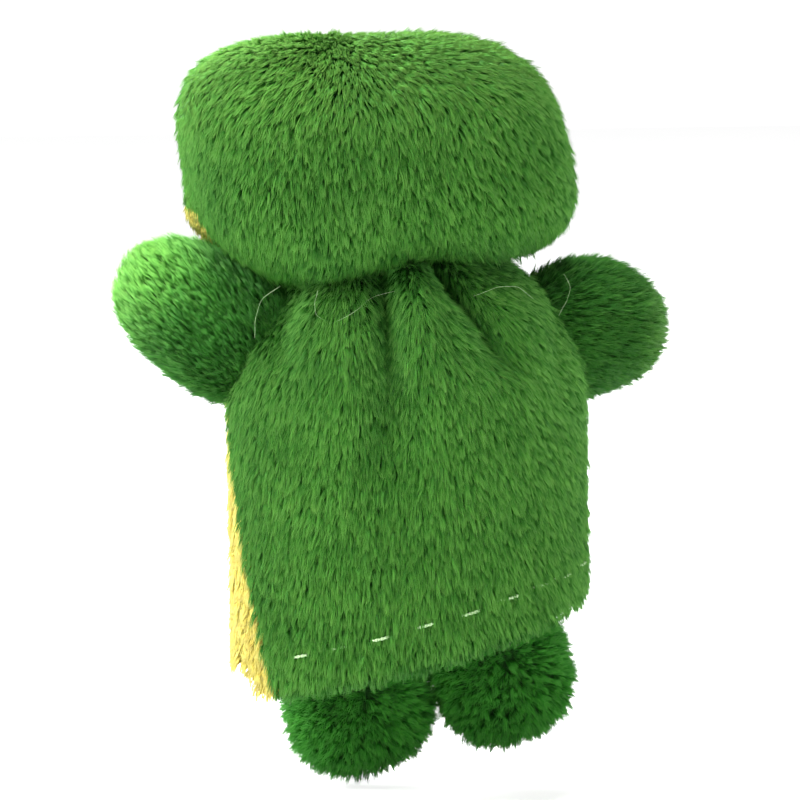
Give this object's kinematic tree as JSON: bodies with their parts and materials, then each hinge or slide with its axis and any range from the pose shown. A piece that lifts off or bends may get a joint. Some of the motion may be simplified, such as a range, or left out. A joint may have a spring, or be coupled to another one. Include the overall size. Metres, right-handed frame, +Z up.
{
  "type": "finger puppet",
  "caption": "Small plush frog finger puppet with a pillow-shaped head, hinged arms and feet, a pale front panel and a tube body open at the hem for a finger.",
  "frame": {"origin": "In the middle of the body tube's open hem, where a finger goes in; the floor under the lower foot is 14.9 mm below it.", "axes": "+Z is up along the body, the face looks along -Y, the puppet's own left hand is on +X."},
  "size_m": [0.0636, 0.0277, 0.081],
  "materials": {
    "green_pile": "short velvet pile, mid green",
    "dark_green_pile": "short upright pile, darker green",
    "yellow_pile": "short velvet pile, pale yellow",
    "stuffing": "polyester fibre filling",
    "green_thread": "pale green sewing thread",
    "yellow_thread": "pale yellow sewing thread",
    "dark_thread": "black embroidery thread",
    "white_felt": "cut felt",
    "black_plastic": "glossy eye bead"
  },
  "bodies": {
    "torso": {"body_back_panel": "green_pile", "body_front_panel": "yellow_pile", "back_hem_stitches": "green_thread", "front_hem_stitches": "yellow_thread", "left_side_seam_thread": "green_thread", "right_side_seam_thread": "green_thread", "left_foot_stitches": "green_thread", "right_foot_stitches": "green_thread"},
    "neck_gather": {"neck_gather_thread": "green_thread"},
    "neck_sewing": {"head_sewing_thread": "green_thread"},
    "head": {"head_back_panel": "green_pile", "head_face_panel": "green_pile", "muzzle_panel": "yellow_pile", "head_stuffing": "stuffing", "left_eye_felt": "white_felt", "right_eye_felt": "white_felt", "left_pupil": "black_plastic", "right_pupil": "black_plastic", "nostril_stitches": "dark_thread", "mouth_stitching": "dark_thread"},
    "left_shoulder": {"left_arm_stitches": "green_thread"},
    "left_arm": {"left_arm_back_panel": "green_pile", "left_arm_front_panel": "green_pile", "left_arm_stuffing": "stuffing"},
    "left_foot": {"left_foot_back_panel": "dark_green_pile", "left_foot_front_panel": "dark_green_pile", "left_foot_stuffing": "stuffing"},
    "right_shoulder": {"right_arm_stitches": "green_thread"},
    "right_arm": {"right_arm_back_panel": "green_pile", "right_arm_front_panel": "green_pile", "right_arm_stuffing": "stuffing"},
    "right_foot": {"right_foot_back_panel": "dark_green_pile", "right_foot_front_panel": "dark_green_pile", "right_foot_stuffing": "stuffing"}
  },
  "joints": [
    {"name": "head_turn", "type": "hinge", "parent": "torso", "child": "neck_gather", "pos_m": [0, 0, 0.0449], "axis": [0, 0, 1], "range_deg": [-30, 30]},
    {"name": "head_tilt", "type": "hinge", "parent": "neck_gather", "child": "neck_sewing", "pos_m": [0, 0, 0.0449], "axis": [0, 1, 0], "range_deg": [-9, 5]},
    {"name": "head_nod", "type": "hinge", "parent": "neck_sewing", "child": "head", "pos_m": [0, 0, 0.0449], "axis": [1, 0, 0], "range_deg": [-12, 20]},
    {"name": "left_arm_swing", "type": "hinge", "parent": "torso", "child": "left_shoulder", "pos_m": [0.0193, -0.0016, 0.0341], "axis": [0, 0, -1], "range_deg": [-25, 40]},
    {"name": "left_arm_raise", "type": "hinge", "parent": "left_shoulder", "child": "left_arm", "pos_m": [0.0193, -0.0016, 0.0341], "axis": [0, 1, 0], "range_deg": [-18, 20]},
    {"name": "right_arm_swing", "type": "hinge", "parent": "torso", "child": "right_shoulder", "pos_m": [-0.0193, -0.0016, 0.0341], "axis": [0, 0, 1], "range_deg": [-28, 20]},
    {"name": "right_arm_raise", "type": "hinge", "parent": "right_shoulder", "child": "right_arm", "pos_m": [-0.0193, -0.0016, 0.0341], "axis": [0, 1, 0], "range_deg": [-10, 30]},
    {"name": "left_foot_swing", "type": "hinge", "parent": "torso", "child": "left_foot", "pos_m": [0.0042, -0.01079, -0.00105], "axis": [-0.9703, 0, 0.2419], "range_deg": [-14, 40]},
    {"name": "right_foot_swing", "type": "hinge", "parent": "torso", "child": "right_foot", "pos_m": [-0.011, -0.0091, 0.00274], "axis": [-0.9703, 0, 0.2419], "range_deg": [-14, 40]}
  ]
}
